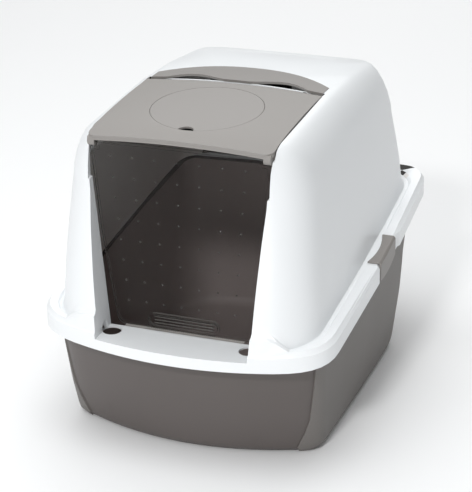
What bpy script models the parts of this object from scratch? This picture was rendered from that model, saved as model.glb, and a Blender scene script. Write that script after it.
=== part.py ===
"""Hooded cat litter box: a tub, a lift-off hood on clips, and a flip-up cover that carries the door.

Metres, +Z up, +X to the right seen from the doorway, which faces -Y.
The origin is on the floor under the middle of the box.
"""
import math

import bmesh
import bpy
from mathutils import Matrix, Vector

# ---- overall sizes
LENGTH = 0.570              # hood skirt, front to back
WIDTH = 0.438               # hood skirt, side to side
ROOF_EDGE_HEIGHT = 0.4598   # roof where it turns over into the sides, at its highest
ROOF_CROWN = 0.0055         # rise of the roof from its side edges to its middle
ROOF_FRONT_DROP = 0.0135    # fall of the roof from its highest place to its front and rear ends
ROOF_REAR_DROP = 0.0175
ROOF_FRONT_ROLL = 0.0040    # extra fall close to the front end
ROLL_POWER = 8
ROOF_PEAK_Y = -0.005
SPLIT_FRONT = 0.1483        # skirt's lower edge above the floor at the front
SPLIT_REAR = 0.2321
SKIRT_DEPTH = 0.0287

# ---- walls and fits
PAN_WALL = 0.0030
HOOD_WALL = 0.0028
COVER_WALL = 0.0028
TOUCH = 0.0004              # gap between pieces that rest on each other
FIT = 0.0010                # gap round pieces that lift or swing past each other
PIN_CLEARANCE = 0.0004
HAIR = 0.0003               # how far a joined detail stays inside the face it grows from
SINK = 0.0005               # how far a joined detail reaches into what it grows from
BEYOND = 0.020              # how far a cutter runs past what it cuts

# ---- skirt and rim outline
SKIRT_FRONT_RADIUS = 0.072
SKIRT_REAR_RADIUS = 0.044
SKIRT_FRONT_BOW = 0.019
SKIRT_SIDE_BOW = 0.009
SKIRT_REAR_BOW = 0.006
SKIRT_EDGE_RADIUS = 0.0030
BEAD_INSET = 0.0050         # bead's outer edge inside the skirt
BEAD_HEIGHT = 0.0035
BEAD_SHARE = 0.52           # shares of the way from the bead's outer edge to the hood's wall
GROOVE_SHARE = 0.66
FILLET_SHARE = 0.86

# ---- tub
FOOT_HALF_WIDTH = 0.190
FOOT_FRONT_Y = -0.242
FOOT_REAR_Y = 0.231
FOOT_EDGE_RADIUS = 0.018
FOOT_FRONT_RADIUS = 0.040
FOOT_REAR_RADIUS = 0.080
FOOT_LEAST_RADIUS = 0.012
FOOT_BOWS = (0.030, 0.004, 0.010)
RIM_RISE = 0.0085           # rim's top above the skirt's lower edge
RIM_LIP = 0.0070            # depth of the turned-down lip
RIM_INSET = 0.0080          # lip inside the skirt's outline
TUB_WALL_INSET = 0.0190     # tub wall inside the skirt's outline, at the rim

# ---- hood body
WALL_HALF_WIDTH = 0.1905
WALL_FRONT_Y = -0.2640
WALL_REAR_Y = 0.2560
ROOF_HALF_WIDTH = 0.1330
ROOF_FRONT_Y = -0.2220
ROOF_REAR_Y = 0.2230
WALL_FRONT_RADIUS = 0.072
WALL_REAR_RADIUS = 0.060
SHOULDER_DROP = 0.073       # roof edge down to where the side wall is straight
SHOULDER_POWER = 1.25       # 1 is a round shoulder, 2 a chamfer
SHOULDER_HALF_WIDTH = 0.1765
SHOULDER_FRONT_Y = -0.2430
SHOULDER_REAR_Y = 0.2460
SHOULDER_FRONT_RADIUS = 0.078
SHOULDER_REAR_RADIUS = 0.070
ROOF_CORNER_RADIUS = 0.030
WALL_BOW = 0.004            # bow of the front and rear walls, and of the sides at the flange
WALL_BULGE = 1.3            # 1 is a straight wall from the flange to the shoulder, more is a fuller one
WALL_FOOT_RISE = 0.0085     # wall's foot above the skirt's top
PAD_FULL_X = 0.138          # raised pad under each front corner: full height up to here, none past PAD_END_X
PAD_END_X = 0.166
PAD_RISE = 0.0170           # pad's outer edge above the skirt's top
PAD_SLOPE = 0.0080          # rise from there to the foot of the wall
RIB_INSET = 0.0095          # rib inside the flange that stands on the tub's rim
RIB_THICKNESS = 0.0025

# ---- doorway
DOORWAY_HALF_TOP = 0.1313   # half widths of the doorway at the door's pivots and at the sill
DOORWAY_HALF_SILL = 0.1112
DOORWAY_LINING = 0.0020     # from the lining's rear edge back to the door's pivots
DOORWAY_REAR = 0.0120       # from the pivots back to the end of the doorway's cut
BAY_STEP = 0.0140           # the doorway widens to the cover's bay this far above the pivots
SILL_HEIGHT = 0.1650
SILL_REAR_Y = -0.2310
SILL_WALL = 0.0026
NOTCH_X = 0.1010            # bag notch at each end of the sill
NOTCH_Y = -0.2400
NOTCH_RADIUS = 0.0135
NOTCH_REACH = 0.0110        # the notch is cut this far above and below the sill

# ---- swing door
PIVOT_HEIGHT = 0.4350
PIVOT_Y = -0.2190
DOOR_TOP = 0.4370
DOOR_BOTTOM = 0.1680
DOOR_HALF_TOP = 0.1295
DOOR_HALF_MIDDLE = 0.1180      # the door's edges turn in more steeply below this height
DOOR_MIDDLE = 0.3000
DOOR_HALF_BOTTOM = 0.1008
DOOR_THICKNESS = 0.0022
DOOR_CORNER_RADIUS = 0.012
DOOR_RIM = 0.0040
DOOR_EDGE_RISE = 0.0012
PIN_RADIUS = 0.0022
PIN_REACH = 0.0060          # pin's end past the ear's inner face
EAR_THICKNESS = 0.0100
EAR_RADIUS = 0.0070
EAR_FRONT = 0.0055          # ear's front face ahead of the pivot
GRIP_HEIGHT = 0.1820        # middle of the raised ring that is pushed or pulled
GRIP_HALF_LENGTH = 0.0530
GRIP_HALF_HEIGHT = 0.0110
GRIP_RISE = 0.0045
GRIP_WALL = 0.0030

# ---- flip-up cover
COVER_FRONT_Y = -0.2255
COVER_CORNER_RADIUS = 0.0120
COVER_SIDE_SKIRT = 0.0095
COVER_LIP = 0.0040
LEDGE_WIDTH = 0.0030        # ledge under the cover's side skirts
RAIL_DEPTH = 0.0130         # depth of the rail that carries the ledge
BAY_DEPTH = 0.0600          # clear space under the cover
KNUCKLE_FRONT = 0.0140      # knuckle's front face ahead of the hinge
HINGE_Y = -0.0205           # axis that the cover turns about
HINGE_HEIGHT = 0.4490
HINGE_PIN_RADIUS = 0.0030
KNUCKLE_RADIUS = 0.0055

# ---- odour filter in the cover
FILTER_Y = -0.1175
LID_RADIUS = 0.0783
LID_THICKNESS = 0.0026
LID_NOTCH_RADIUS = 0.0110
LEDGE_NOTCH_RADIUS = 0.0080  # opening in the well's ledge below the lid's notch
WELL_WALL = 0.0022
WELL_LEDGE = 0.0060
WELL_DEPTH = 0.0150
PAD_THICKNESS = 0.0080
VENT_PITCH = 0.0160
VENT_WIDTH = 0.0060
VENT_MARGIN = 0.0080        # from the vents' ends to the well's wall

# ---- carry handle, in its pocket in the roof
HANDLE_HALF_LENGTH = 0.1300
HANDLE_REAR_Y = 0.0640
HANDLE_END_DEPTH = 0.0220
HANDLE_THICKNESS = 0.0034
POCKET_DEPTH = 0.0250
POCKET_FRONT_DEPTH = 0.0046
POCKET_RUN = 0.0420         # from the slots to where the pocket is at full depth
POCKET_LEDGE = 0.0040
SLOT_INNER_X = 0.0200
SLOT_OUTER_X = 0.1060
SLOT_DEPTH = 0.0160

# ---- side clips
CLIP_Y = 0.0350
CLIP_LENGTH = 0.0960
CLIP_THICKNESS = 0.0030
CLIP_TOP_WIDTH = 0.0205
CLIP_WAIST = 0.0060
CLIP_DROP = 0.0045          # leaf's middle below the skirt's edge
CLIP_PROUD = 0.0003
CLIP_RAMP = 0.0050          # length over which the skirt steps in at each end of a clip

SPLIT_SLOPE = (SPLIT_REAR - SPLIT_FRONT) / LENGTH
HALF_LENGTH = LENGTH / 2
HALF_WIDTH = WIDTH / 2
ROOF_HALF_LENGTH = (ROOF_REAR_Y - ROOF_FRONT_Y) / 2
ABOVE_ROOF = ROOF_EDGE_HEIGHT + ROOF_CROWN + 0.020
COVER_HALF_WIDTH = ROOF_HALF_WIDTH - FIT
LEDGE_DROP = COVER_WALL + COVER_SIDE_SKIRT + TOUCH
EAR_INNER_X = DOORWAY_HALF_TOP - FIT - EAR_THICKNESS
LID_EDGE_DROP = 0.0026      # the lid's rim below its crown, square to the cover

FRONT_STEPS = 8
CORNER_STEPS = 7
REAR_STEPS = 4
SHOULDER_STEPS = 6
WALL_STEPS = 3


# ---------------------------------------------------------------- scene and objects

def clear_scene():
    for obj in list(bpy.data.objects):
        bpy.data.objects.remove(obj, do_unlink=True)


def new_collection(name):
    collection = bpy.data.collections.new(name)
    bpy.context.scene.collection.children.link(collection)
    return collection


def plastic(name, colour, roughness, alpha=1.0):
    material = bpy.data.materials.new(name)
    material.use_nodes = True
    shader = material.node_tree.nodes["Principled BSDF"]
    shader.inputs["Base Color"].default_value = (*colour, 1.0)
    shader.inputs["Roughness"].default_value = roughness
    shader.inputs["Metallic"].default_value = 0.0
    shader.inputs["Alpha"].default_value = alpha
    return material


def object_from(bm, name, collection, material=None):
    """Close off a bmesh as a named object."""
    bmesh.ops.remove_doubles(bm, verts=bm.verts, dist=1e-6)
    bmesh.ops.recalc_face_normals(bm, faces=bm.faces)
    mesh = bpy.data.meshes.new(name)
    bm.to_mesh(mesh)
    bm.free()
    obj = bpy.data.objects.new(name, mesh)
    collection.objects.link(obj)
    if material:
        obj.data.materials.append(material)
    return obj


def as_cutter(obj):
    obj.hide_render = True
    obj.display_type = 'WIRE'
    return obj


def boolean(obj, other, operation):
    modifier = obj.modifiers.new(f"{operation.lower()} {other.name}", 'BOOLEAN')
    modifier.operation = operation
    modifier.object = other
    modifier.solver = 'EXACT'


def solidify(obj, thickness, offset=-1.0):
    modifier = obj.modifiers.new("wall", 'SOLIDIFY')
    modifier.thickness = thickness
    modifier.offset = offset
    modifier.use_even_offset = True


def put_origin(obj, pivot):
    """Move an object's origin onto its joint's axis and leave its shape where it is."""
    obj.data.transform(Matrix.Translation(-Vector(pivot)))
    obj.location = pivot


def shade(obj, angle=35):
    obj.data.shade_smooth()
    obj.data.set_sharp_from_angle(angle=math.radians(angle))


# ---------------------------------------------------------------- shared shapes

def split(y):
    """Height of the hood skirt's lower edge, which rises towards the back."""
    return SPLIT_FRONT + SPLIT_SLOPE * (y + HALF_LENGTH)


def roof_edge(y):
    share = (y - ROOF_PEAK_Y) / ROOF_HALF_LENGTH
    if y < ROOF_PEAK_Y:
        return ROOF_EDGE_HEIGHT - ROOF_FRONT_DROP * share ** 2 - ROOF_FRONT_ROLL * share ** ROLL_POWER
    return ROOF_EDGE_HEIGHT - ROOF_REAR_DROP * share ** 2


def roof(x, y):
    """The one surface that the roof, the cover and the handle lie in."""
    return roof_edge(y) + ROOF_CROWN * (1 - (x / ROOF_HALF_WIDTH) ** 2)


def corner(start, along, end, back, steps):
    """Round corner between two points, leaving along one direction and arriving down the other."""
    run = (end - start).dot(along) * 0.56
    drop = (start - end).dot(back) * 0.56
    first = start + along * run
    second = end + back * drop
    points = []
    for i in range(steps + 1):
        t = i / steps
        s = 1 - t
        points.append(start * s ** 3 + first * (3 * s * s * t) + second * (3 * s * t * t) + end * t ** 3)
    return points


def clip_stations():
    """Where the skirt steps in for a clip, from front to back."""
    reach = CLIP_LENGTH / 2 + FIT
    return [CLIP_Y - reach - CLIP_RAMP, CLIP_Y - reach, CLIP_Y + reach, CLIP_Y + reach + CLIP_RAMP]


def outline(half_width, front_y, rear_y, front_radius, rear_radius, bows=(0, 0, 0), step=0.0):
    """A rounded rectangle with bowed edges, anticlockwise from above, starting at the front's middle.

    step moves the side's edge inward between the clip stations.
    """
    front_bow, side_bow, rear_bow = bows
    middle = (front_y + rear_y) / 2

    def side_x(y):
        reach = (rear_y - front_y) / 2
        return half_width - side_bow * ((y - middle) / reach) ** 2

    front_x = half_width - front_radius
    front_end = Vector((front_x, front_y + front_bow))
    front_turn = Vector((1, 2 * front_bow / front_x)).normalized()
    side_start_y = front_y + front_bow + front_radius
    side_start = Vector((side_x(side_start_y), side_start_y))
    side_end_y = rear_y - rear_bow - rear_radius
    side_end = Vector((side_x(side_end_y), side_end_y))
    rear_x = half_width - rear_radius
    rear_start = Vector((rear_x, rear_y - rear_bow))
    rear_turn = Vector((1, -2 * rear_bow / rear_x)).normalized()
    down = Vector((0, -1))

    half = [Vector((front_x * i / FRONT_STEPS, front_y + front_bow * (i / FRONT_STEPS) ** 2))
            for i in range(FRONT_STEPS)]
    half += corner(front_end, front_turn, side_start, down, CORNER_STEPS)
    for number, y in enumerate(clip_stations()):
        inward = step if number in (1, 2) else 0.0
        half.append(Vector((side_x(y) - inward, y)))
    half += corner(rear_start, rear_turn, side_end, -down, CORNER_STEPS)[::-1]
    half += [Vector((rear_x * i / REAR_STEPS, rear_y - rear_bow * (i / REAR_STEPS) ** 2))
             for i in range(REAR_STEPS - 1, -1, -1)]
    mirrored = [Vector((-p.x, p.y)) for p in half[-2:0:-1]]
    return half + mirrored


def skirt_outline(inset, step=0.0):
    return outline(HALF_WIDTH - inset, -HALF_LENGTH + inset, HALF_LENGTH - inset,
                   SKIRT_FRONT_RADIUS - inset, SKIRT_REAR_RADIUS - inset,
                   (SKIRT_FRONT_BOW, SKIRT_SIDE_BOW, SKIRT_REAR_BOW), step)


def ring(points, height):
    """Lift plan points to 3-D with height(x, y)."""
    return [Vector((p.x, p.y, height(p.x, p.y))) for p in points]


def mix(first, second, share):
    return [a.lerp(b, share) for a, b in zip(first, second)]


def loft(bm, rings, closed=False):
    """Skin a row of rings that have the same number of points."""
    loops = [[bm.verts.new(p) for p in points] for points in rings]
    count = len(loops[0])
    pairs = list(zip(loops, loops[1:]))
    if closed:
        pairs.append((loops[-1], loops[0]))
    for low, high in pairs:
        for i in range(count):
            j = (i + 1) % count
            bm.faces.new((low[i], low[j], high[j], high[i]))
    return loops


def fan(bm, loop, centre):
    hub = bm.verts.new(centre)
    for i, vert in enumerate(loop):
        bm.faces.new((vert, loop[(i + 1) % len(loop)], hub))


def box(name, low, high, collection):
    bm = bmesh.new()
    size = Vector(high) - Vector(low)
    middle = (Vector(high) + Vector(low)) / 2
    bmesh.ops.create_cube(bm, size=1.0, matrix=Matrix.Translation(middle) @ Matrix.Diagonal((*size, 1.0)))
    return object_from(bm, name, collection)


def cylinder(name, radius, start, end, collection, segments=20):
    """A round bar from one point to another."""
    bm = bmesh.new()
    along = Vector(end) - Vector(start)
    turn = Vector((0, 0, 1)).rotation_difference(along).to_matrix().to_4x4()
    place = Matrix.Translation((Vector(start) + Vector(end)) / 2) @ turn
    bmesh.ops.create_cone(bm, cap_ends=True, segments=segments, radius1=radius, radius2=radius,
                          depth=along.length, matrix=place)
    return object_from(bm, name, collection)


def prism(name, points, direction, collection):
    """Push a flat 3-D outline along a direction."""
    bm = bmesh.new()
    face = bm.faces.new([bm.verts.new(p) for p in points])
    moved = bmesh.ops.extrude_face_region(bm, geom=[face])["geom"]
    bmesh.ops.translate(bm, verts=[v for v in moved if isinstance(v, bmesh.types.BMVert)], vec=direction)
    return object_from(bm, name, collection)


def spread(low, high, steps):
    return [low + (high - low) * i / steps for i in range(steps + 1)]


def slab(name, xs, front, rear, low, high, collection, material=None, steps=6):
    """A solid between two heights, over the plan between two edges front(x) and rear(x)."""
    bm = bmesh.new()
    sections = []
    for x in xs:
        ys = spread(front(x), rear(x), steps)
        under = [Vector((x, y, low(x, y))) for y in ys]
        over = [Vector((x, y, high(x, y))) for y in ys[::-1]]
        sections.append(under + over)
    loops = loft(bm, sections)
    for loop in (loops[0], loops[-1]):
        for i in range(steps):
            bm.faces.new((loop[i], loop[i + 1], loop[-2 - i], loop[-1 - i]))
    return object_from(bm, name, collection, material)


# ---------------------------------------------------------------- tub

def foot_outline(inset):
    return outline(FOOT_HALF_WIDTH - inset, FOOT_FRONT_Y + inset, FOOT_REAR_Y - inset,
                   max(FOOT_FRONT_RADIUS - inset, FOOT_LEAST_RADIUS),
                   max(FOOT_REAR_RADIUS - inset, FOOT_LEAST_RADIUS), FOOT_BOWS)


def make_pan(parts, material):
    """Tapered tub with a turned-down rim, outside and inside skinned as one loop of rings."""
    radius = FOOT_EDGE_RADIUS

    def wall_ring(share, inset):
        plan = mix(foot_outline(inset), skirt_outline(TUB_WALL_INSET + inset), share)
        return ring(plan, lambda x, y: share * (split(y) + RIM_RISE))

    rings = []
    for i in range(4):
        angle = math.pi / 2 * i / 3
        rings.append(ring(foot_outline(radius * (1 - math.sin(angle))),
                          lambda x, y, a=angle: radius * (1 - math.cos(a))))
    rings += [wall_ring(share, 0) for share in (0.35, 0.65, 0.92)]
    lip = RIM_INSET
    turn = PAN_WALL / 3
    rings.append(ring(skirt_outline(TUB_WALL_INSET - turn), lambda x, y: split(y) + RIM_RISE - PAN_WALL))
    rings.append(ring(skirt_outline(lip + PAN_WALL), lambda x, y: split(y) + RIM_RISE - PAN_WALL))
    rings.append(ring(skirt_outline(lip + PAN_WALL), lambda x, y: split(y) + RIM_RISE - RIM_LIP))
    rings.append(ring(skirt_outline(lip), lambda x, y: split(y) + RIM_RISE - RIM_LIP))
    rings.append(ring(skirt_outline(lip), lambda x, y: split(y) + RIM_RISE - turn))
    rings.append(ring(skirt_outline(lip + turn), lambda x, y: split(y) + RIM_RISE))
    rings.append(ring(skirt_outline(TUB_WALL_INSET + PAN_WALL - turn), lambda x, y: split(y) + RIM_RISE))
    rings += [wall_ring(share, PAN_WALL) for share in (0.92, 0.65, 0.35)]
    for i in range(3, -1, -1):
        angle = math.pi / 2 * i / 3
        inner = radius - PAN_WALL
        rings.append(ring(foot_outline(PAN_WALL + inner * (1 - math.sin(angle))),
                          lambda x, y, a=angle: PAN_WALL + inner * (1 - math.cos(a))))
    bm = bmesh.new()
    loops = loft(bm, rings)
    centre_y = (FOOT_FRONT_Y + FOOT_REAR_Y) / 2
    fan(bm, loops[0], (0, centre_y, 0))
    fan(bm, loops[-1], (0, centre_y, PAN_WALL))
    shade(object_from(bm, "base_pan", parts, material))


# ---------------------------------------------------------------- hood

def pad_share(x, y):
    """How much of the raised pad there is under a front corner at this place."""
    if y > 0:
        return 0.0
    share = min(max((PAD_END_X - abs(x)) / (PAD_END_X - PAD_FULL_X), 0.0), 1.0)
    return share * share * (3 - 2 * share)


def hood_rings(inset):
    """Rings of the hood's outer surface, from the skirt's lower edge to near the roof's middle."""
    step = CLIP_THICKNESS
    wall = outline(WALL_HALF_WIDTH - inset, WALL_FRONT_Y + inset, WALL_REAR_Y - inset,
                   WALL_FRONT_RADIUS, WALL_REAR_RADIUS, (WALL_BOW, WALL_BOW, WALL_BOW))
    wall_top = outline(SHOULDER_HALF_WIDTH - inset, SHOULDER_FRONT_Y + inset, SHOULDER_REAR_Y - inset,
                       SHOULDER_FRONT_RADIUS, SHOULDER_REAR_RADIUS, (WALL_BOW, WALL_BOW / 2, WALL_BOW))
    roof_plan = outline(ROOF_HALF_WIDTH, ROOF_FRONT_Y, ROOF_REAR_Y, ROOF_CORNER_RADIUS, ROOF_CORNER_RADIUS,
                        (0.0, 0.0, WALL_BOW))
    edge = skirt_outline(inset + SKIRT_EDGE_RADIUS, step)
    bead = skirt_outline(inset + BEAD_INSET, step)

    def above_skirt(rise, on_pad=0.0, at_clip=0.0):
        """Height over the skirt's top: rise, more on the pads, less where a clip lies."""
        def height(x, y):
            stations = clip_stations()
            clipped = stations[0] < y < stations[-1] and abs(x) > WALL_HALF_WIDTH
            share = pad_share(x, y)
            return split(y) + SKIRT_DEPTH + rise + on_pad * share - (at_clip if clipped else 0.0) - inset
        return height

    def below_roof(drop):
        return lambda x, y: roof_edge(y) - drop - inset

    foot = above_skirt(WALL_FOOT_RISE, PAD_RISE + PAD_SLOPE)
    pad = PAD_RISE + BEAD_HEIGHT
    rings = [
        ring(skirt_outline(inset, step), lambda x, y: split(y)),
        ring(skirt_outline(inset, step), above_skirt(-SKIRT_EDGE_RADIUS - BEAD_HEIGHT)),
        ring(edge, above_skirt(-BEAD_HEIGHT)),
        ring(bead, above_skirt(0.0, PAD_RISE, BEAD_HEIGHT)),
        ring(mix(bead, wall, BEAD_SHARE), above_skirt(0.0, PAD_RISE + PAD_SLOPE / 4, BEAD_HEIGHT)),
        ring(mix(bead, wall, GROOVE_SHARE), above_skirt(-BEAD_HEIGHT, pad + PAD_SLOPE / 2)),
        ring(mix(bead, wall, FILLET_SHARE), above_skirt(-BEAD_HEIGHT / 2, pad - BEAD_HEIGHT / 2 + PAD_SLOPE * 3 / 4)),
        ring(wall, foot),
    ]
    low = below_roof(SHOULDER_DROP)
    for share in spread(0, 1, WALL_STEPS)[1:]:
        rings.append(ring(mix(wall, wall_top, share ** WALL_BULGE),
                          lambda x, y, s=share: foot(x, y) * (1 - s) + low(x, y) * s))
    for i in range(1, SHOULDER_STEPS + 1):
        angle = math.pi / 2 * i / SHOULDER_STEPS
        across = 1 - math.cos(angle) ** SHOULDER_POWER
        drop = SHOULDER_DROP * (1 - math.sin(angle) ** SHOULDER_POWER)
        rings.append(ring(mix(wall_top, roof_plan, across), below_roof(drop)))
    middle = Vector((0, (ROOF_FRONT_Y + ROOF_REAR_Y) / 2))
    for share in (0.75, 0.5, 0.25):
        plan = [middle + (p - middle) * share for p in roof_plan]
        rings.append(ring(plan, lambda x, y: roof(x, y) - inset))
    return rings, Vector((0, middle.y, roof(0, middle.y) - inset))


def hood_surface(name, collection, inset=0.0, closed=False, material=None):
    rings, peak = hood_rings(inset)
    bm = bmesh.new()
    loops = loft(bm, rings)
    fan(bm, loops[-1], peak)
    if closed:
        fan(bm, loops[0], (0, 0, split(0)))
    return object_from(bm, name, collection, material)


def doorway_half(height):
    share = (height - SILL_HEIGHT) / (PIVOT_HEIGHT - SILL_HEIGHT)
    return DOORWAY_HALF_SILL + (DOORWAY_HALF_TOP - DOORWAY_HALF_SILL) * share


def doorway_points(grow, bottom, y):
    """The doorway seen from the front; above the pivots it widens to the cover's bay."""
    bay = COVER_HALF_WIDTH + FIT + grow
    half = [(doorway_half(bottom) + grow, bottom), (DOORWAY_HALF_TOP + grow, PIVOT_HEIGHT),
            (bay, PIVOT_HEIGHT + BAY_STEP), (bay, ABOVE_ROOF)]
    return [(-x, y, z) for x, z in half[::-1]] + [(x, y, z) for x, z in half]


def make_hood(parts, cutters, material):
    """Thin shell with a reveal round the doorway, a sill, a handle pocket and hinge holes."""
    hood = hood_surface("hood_shell", parts, material=material)
    shade(hood)
    solidify(hood, HOOD_WALL)
    core = as_cutter(hood_surface("hood core", cutters, inset=HOOD_WALL / 2, closed=True))

    def join(piece):
        boolean(hood, as_cutter(piece), 'UNION')

    def join_inside(piece):
        """Trim a piece to the middle of the hood's wall and join it on."""
        boolean(piece, core, 'INTERSECT')
        join(piece)

    def cut(piece):
        boolean(hood, as_cutter(piece), 'DIFFERENCE')

    join(seating_rib(cutters))

    # frame behind the doorway, and the rails that the cover rests on
    frame_start = WALL_FRONT_Y - BEYOND
    frame_end = PIVOT_Y - DOORWAY_LINING
    join_inside(prism("door frame", doorway_points(HOOD_WALL, SILL_HEIGHT - SILL_WALL, frame_start),
                      (0, frame_end - frame_start, 0), cutters))
    rail_low = roof_edge(COVER_FRONT_Y) - LEDGE_DROP - RAIL_DEPTH
    for side, name in ((-1, "left rail"), (1, "right rail")):
        ends = sorted((side * (COVER_HALF_WIDTH + FIT - LEDGE_WIDTH), side * (COVER_HALF_WIDTH + FIT + HOOD_WALL)))
        join_inside(box(name, (ends[0], WALL_FRONT_Y, rail_low),
                        (ends[1], HINGE_Y + HINGE_PIN_RADIUS * 3, ABOVE_ROOF), cutters))

    # sill across the doorway
    reach = doorway_half(SILL_HEIGHT) + HOOD_WALL * 2
    join_inside(box("sill", (-reach, -HALF_LENGTH - BEYOND, SILL_HEIGHT - SILL_WALL),
                    (reach, SILL_REAR_Y, SILL_HEIGHT), cutters))

    # pocket under the handle: a dished floor that falls away from the finger slots
    half = HANDLE_HALF_LENGTH + HOOD_WALL
    join_inside(slab("pocket wall", spread(-half, half, 16), handle_front, lambda x: handle_rear(x, HOOD_WALL),
                     lambda x, y: pocket_floor(x, y) - HOOD_WALL, lambda x, y: ABOVE_ROOF, cutters))

    # doorway, then the bay that the cover drops into
    cut(prism("doorway", doorway_points(0, SILL_HEIGHT, -HALF_LENGTH - BEYOND),
              (0, HALF_LENGTH + BEYOND + PIVOT_Y + DOORWAY_REAR, 0), cutters))
    bay = COVER_HALF_WIDTH + FIT
    for name, half, drop in (("cover bay", bay, LEDGE_DROP), ("cover bay below", bay - LEDGE_WIDTH, BAY_DEPTH)):
        cut(slab(name, spread(-half, half, 12), lambda x: WALL_FRONT_Y - BEYOND, lambda x: nose_y(x) + FIT,
                 lambda x, y, d=drop: roof_edge(max(y, COVER_FRONT_Y)) - d, lambda x, y: ABOVE_ROOF, cutters,
                 steps=10))
    cut(cylinder("nose room", nose_radius(COVER_HALF_WIDTH) + FIT, (-bay, HINGE_Y, HINGE_HEIGHT), (bay, HINGE_Y, HINGE_HEIGHT),
                 cutters))
    reach = hinge_reach() + SINK
    cut(cylinder("hinge holes", HINGE_PIN_RADIUS + PIN_CLEARANCE, (-reach, HINGE_Y, HINGE_HEIGHT),
                 (reach, HINGE_Y, HINGE_HEIGHT), cutters))

    # seat of the handle and the hollow below it
    half = HANDLE_HALF_LENGTH + TOUCH
    cut(slab("handle seat", spread(-half, half, 16), lambda x: handle_front(x) - FIT * 4,
             lambda x: handle_rear(x, TOUCH), lambda x, y: roof(x, y) - HANDLE_THICKNESS - TOUCH,
             lambda x, y: ABOVE_ROOF, cutters))
    half = HANDLE_HALF_LENGTH - POCKET_LEDGE
    cut(slab("handle pocket", spread(-half, half, 16), lambda x: handle_front(x) + HOOD_WALL,
             lambda x: handle_rear(x, -POCKET_LEDGE), pocket_floor, lambda x, y: ABOVE_ROOF, cutters))

    # round notch at each end of the sill
    for side, name in ((-1, "left notch"), (1, "right notch")):
        x = side * NOTCH_X
        cut(cylinder(name, NOTCH_RADIUS, (x, NOTCH_Y, SILL_HEIGHT - NOTCH_REACH),
                     (x, NOTCH_Y, SILL_HEIGHT + NOTCH_REACH), cutters, segments=28))


def seating_rib(cutters):
    """Rib inside the flange that stands on the tub's rim."""
    low = RIM_RISE + TOUCH
    high = SKIRT_DEPTH - BEAD_HEIGHT - HOOD_WALL / 2
    inner = RIB_INSET + RIB_THICKNESS
    bm = bmesh.new()
    loft(bm, [ring(skirt_outline(RIB_INSET), lambda x, y: split(y) + low),
              ring(skirt_outline(inner), lambda x, y: split(y) + low),
              ring(skirt_outline(inner), lambda x, y: split(y) + high),
              ring(skirt_outline(RIB_INSET), lambda x, y: split(y) + high)], closed=True)
    return object_from(bm, "seating rib", cutters)


# ---------------------------------------------------------------- cover

def nose_radius(x):
    """The cover's rear edge is round about the hinge axis, as high as the roof there."""
    return roof(x, HINGE_Y) - HINGE_HEIGHT


def nose_y(x):
    return HINGE_Y + nose_radius(x)


def hinge_reach():
    return COVER_HALF_WIDTH + FIT + HOOD_WALL + 0.001


def cover_nose(cutters):
    """Quarter-round rear edge, as wide as the cover."""
    bm = bmesh.new()
    sections = []
    for x in spread(-COVER_HALF_WIDTH + HAIR, COVER_HALF_WIDTH - HAIR, 12):
        outer = nose_radius(x) - HAIR
        inner = nose_radius(x) - COVER_WALL
        arc = [math.pi / 2 * i / 4 for i in range(5)]
        section = [Vector((x, HINGE_Y - HAIR, HINGE_HEIGHT + inner)), Vector((x, HINGE_Y - HAIR, HINGE_HEIGHT + outer))]
        section += [Vector((x, HINGE_Y + outer * math.sin(a), HINGE_HEIGHT + outer * math.cos(a))) for a in arc]
        section += [Vector((x, HINGE_Y + inner * math.sin(a), HINGE_HEIGHT + inner * math.cos(a))) for a in arc[::-1]]
        sections.append(section)
    loops = loft(bm, sections)
    for loop in (loops[0], loops[-1]):
        for i in range(len(loop) // 2 - 1):
            bm.faces.new((loop[i], loop[i + 1], loop[-2 - i], loop[-1 - i]))
    return object_from(bm, "cover nose", cutters)


def cover_front(x):
    """Front edge of the cover, with a round corner at each end."""
    over = abs(x) - (COVER_HALF_WIDTH - COVER_CORNER_RADIUS)
    if over <= 0:
        return COVER_FRONT_Y
    return COVER_FRONT_Y + COVER_CORNER_RADIUS - math.sqrt(max(COVER_CORNER_RADIUS ** 2 - over ** 2, 0.0))


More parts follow.
